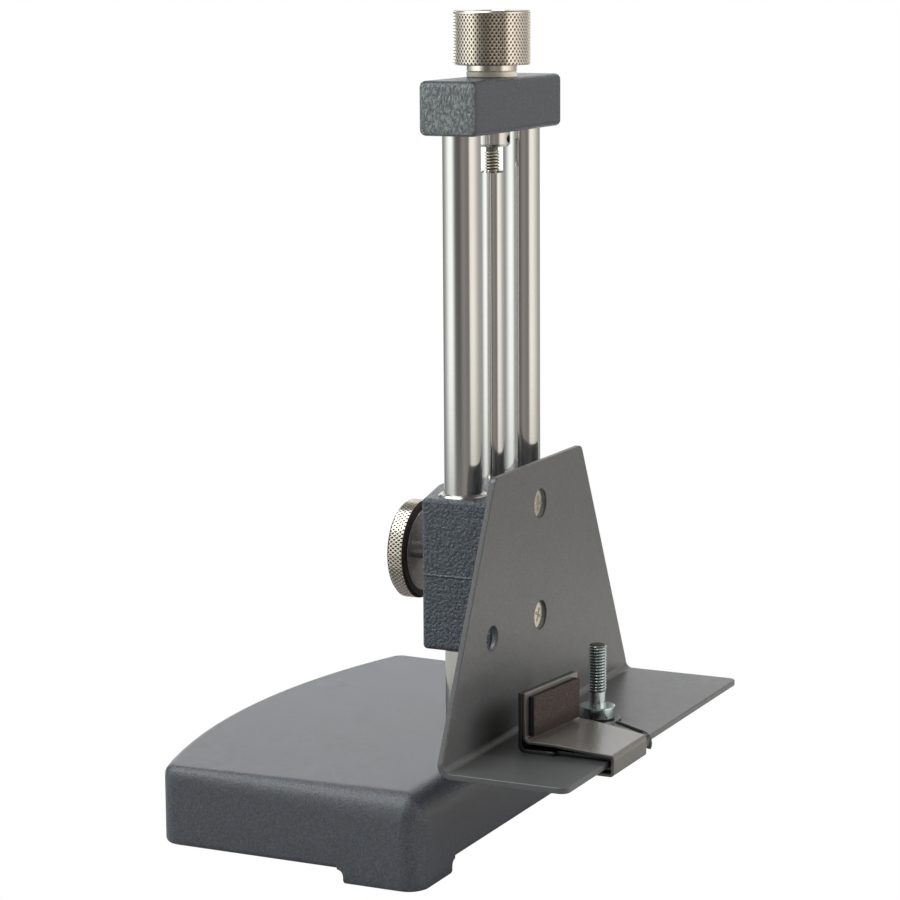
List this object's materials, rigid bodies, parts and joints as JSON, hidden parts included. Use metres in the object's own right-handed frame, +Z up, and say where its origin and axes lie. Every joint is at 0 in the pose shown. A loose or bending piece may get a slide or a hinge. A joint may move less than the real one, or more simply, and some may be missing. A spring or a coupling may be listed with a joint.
{
  "type": "surface gauge",
  "caption": "Surface gauge: cast base, twin columns and bar; a fine-feed carriage holds a bent face plate with a shelf, a sliding clip and a threaded stud.",
  "frame": {"origin": "middle of the whole gauge's box, at the height of its feet", "axes": "+Z up along the columns, -Y is the side that the face plate looks to, +X along the shelf to the right"},
  "size_m": [0.171, 0.156, 0.2725],
  "materials": {
    "cast_paint": "dark blue-grey paint on a rough casting",
    "sheet_paint": "dark grey fine-texture paint on bent steel sheet",
    "ground_steel": "ground and polished",
    "nickel": "nickel plated, satin",
    "zinc": "bright zinc plated",
    "bush_steel": "turned, bright",
    "bronze": "sintered bronze",
    "brass": "turned",
    "black_steel": "blackened",
    "carrier_black": "black paint",
    "leaf_paint": "dull brown-grey spring steel",
    "brown_pad": "brown rubber-bound cork"
  },
  "bodies": {
    "stand": {"base_casting": "cast_paint", "column_left": "ground_steel", "column_right": "ground_steel", "column_screws": "black_steel", "top_bar": "cast_paint", "bar_grub_screws": "black_steel", "bar_bush": "bronze", "thrust_washer": "nickel"},
    "feed_knob": {"adjusting_knob": "nickel", "spindle": "ground_steel", "set_collar": "nickel", "collar_grub_screw": "black_steel"},
    "feed_rod": {"centre_rod": "ground_steel"},
    "carriage": {"carriage_block": "cast_paint", "bush_upper_left": "bush_steel", "bush_upper_right": "bush_steel", "bush_lower_left": "bush_steel", "bush_lower_right": "bush_steel", "face_plate": "sheet_paint", "plate_screws": "nickel"},
    "clamp_tip": {"pressure_pad": "brass"},
    "clamp": {"clamp_knob": "nickel", "clamp_screw": "black_steel"},
    "clip": {"clip_carrier": "carrier_black", "clip_leaf": "leaf_paint", "clip_pad": "brown_pad", "clip_stud": "zinc"}
  },
  "joints": [
    {"name": "knob_turn", "type": "hinge", "parent": "stand", "child": "feed_knob", "pos_m": [0, -0.01597, 0.262], "axis": [0, 0, 1], "range_deg": [-2700, 2700]},
    {"name": "fine_feed", "type": "slide", "parent": "stand", "child": "feed_rod", "axis": [0, 0, 1], "range_m": [-0.0075, 0.0075]},
    {"name": "carriage_slide", "type": "slide", "parent": "feed_rod", "child": "carriage", "axis": [0, 0, 1], "range_m": [-0.0245, 0.103]},
    {"name": "pad_travel", "type": "slide", "parent": "carriage", "child": "clamp_tip", "axis": [0, 1, 0], "range_m": [0, 0.001]},
    {"name": "clamp_turn", "type": "hinge", "parent": "clamp_tip", "child": "clamp", "pos_m": [0, 0.01203, 0.0915], "axis": [0, 1, 0], "range_deg": [0, 360]},
    {"name": "clip_slide", "type": "slide", "parent": "carriage", "child": "clip", "axis": [1, 0, 0], "range_m": [-0.03, 0.064]}
  ],
  "couplings": [
    {"joint": "fine_feed", "follows": "knob_turn", "m_per_rad": -0.00015915},
    {"joint": "pad_travel", "follows": "clamp_turn", "m_per_rad": 0.00015915}
  ]
}
